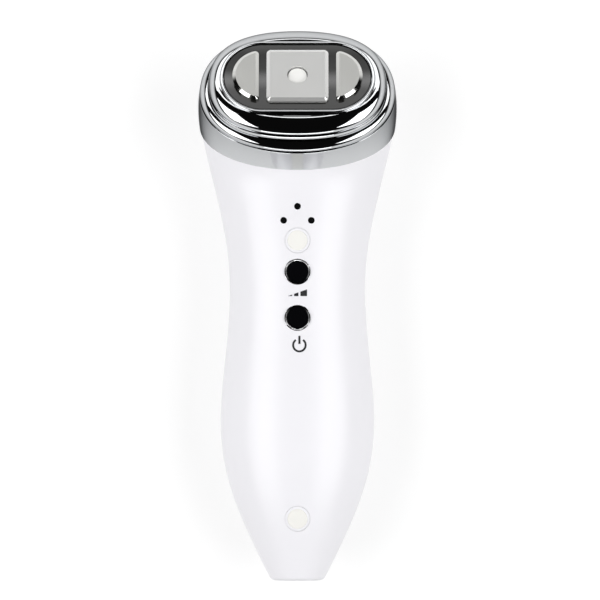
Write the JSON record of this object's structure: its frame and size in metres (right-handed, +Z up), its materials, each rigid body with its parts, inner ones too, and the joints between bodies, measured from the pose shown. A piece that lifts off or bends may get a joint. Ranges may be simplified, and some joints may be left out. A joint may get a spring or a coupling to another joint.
{
  "type": "focused ultrasound facial device",
  "caption": "Hand-held facial device with a waisted grip, press buttons and a tilted oval head that carries flat electrodes round a sound outlet.",
  "frame": {"origin": "middle of the footprint at the level of the lowest point, with the device lying on its back", "axes": "+Z up out of the front with the buttons, +Y from the tail to the head, +X to the right of someone who looks at the front with the head up"},
  "size_m": [0.0626, 0.1734, 0.0515],
  "materials": {
    "shell_white": "gloss",
    "collar_chrome": "mirror polished",
    "window_smoke": "clear gloss",
    "gasket_black": "matt",
    "plate_satin": "satin",
    "moon_satin": "satin",
    "steel": "plain",
    "carrier_black": "matt",
    "outlet_white": "satin",
    "piezo_ceramic": "matt",
    "backing_grey": "matt",
    "can_metal": "turned",
    "ring_chrome": "mirror polished",
    "cap_black": "high gloss",
    "lens_black": "gloss",
    "cover_cream": "satin",
    "board_green": "satin",
    "component_black": "matt",
    "lamp_white": "gloss",
    "ferrite": "matt",
    "copper": "enamelled",
    "capacitor_sleeve": "satin",
    "socket_cream": "satin",
    "inlet_black": "satin",
    "contact_metal": "nickel plated",
    "lead_black": "satin",
    "lead_red": "satin"
  },
  "bodies": {
    "handset": {"front_shell": "shell_white", "rear_shell": "shell_white", "head_bezel": "collar_chrome", "window_gasket": "gasket_black", "face_window": "window_smoke", "centre_electrode": "plate_satin", "left_electrode": "moon_satin", "right_electrode": "moon_satin", "electrode_nuts": "steel", "electrode_carrier": "carrier_black", "carrier_screws": "steel", "transducer_lens": "outlet_white", "piezo_disc": "piezo_ceramic", "transducer_backing": "backing_grey", "transducer_can": "can_metal", "case_screws": "steel", "main_board": "board_green", "board_screws": "steel", "control_chip": "component_black", "indicator_lamps": "lamp_white", "transformer_core": "ferrite", "transformer_winding": "copper", "storage_capacitors": "capacitor_sleeve", "boost_inductor": "ferrite", "buzzer": "component_black", "driver_transistor": "component_black", "power_socket": "socket_cream", "transducer_socket": "socket_cream", "electrode_socket": "socket_cream", "inlet_body": "inlet_black", "inlet_pin": "contact_metal", "inlet_blade": "contact_metal", "power_lead": "lead_black", "transducer_lead": "lead_black", "electrode_leads": "lead_red", "mode_button_ring": "ring_chrome", "power_button_ring": "ring_chrome", "mode_switch": "component_black", "power_switch": "component_black", "indicator_lens_top": "lens_black", "indicator_lens_left": "lens_black", "indicator_lens_right": "lens_black", "upper_screw_cover": "cover_cream", "lower_screw_cover": "cover_cream"},
    "mode_button_unit": {"mode_button": "cap_black", "mode_switch_plunger": "lamp_white"},
    "power_button_unit": {"power_button": "cap_black", "power_switch_plunger": "lamp_white"}
  },
  "joints": [
    {"name": "mode_button_press", "type": "slide", "parent": "handset", "child": "mode_button_unit", "axis": [0, 0, -1], "range_m": [0, 0.0005], "stiffness_N_per_m": 4000},
    {"name": "power_button_press", "type": "slide", "parent": "handset", "child": "power_button_unit", "axis": [0, 0, -1], "range_m": [0, 0.0005], "stiffness_N_per_m": 4000}
  ]
}
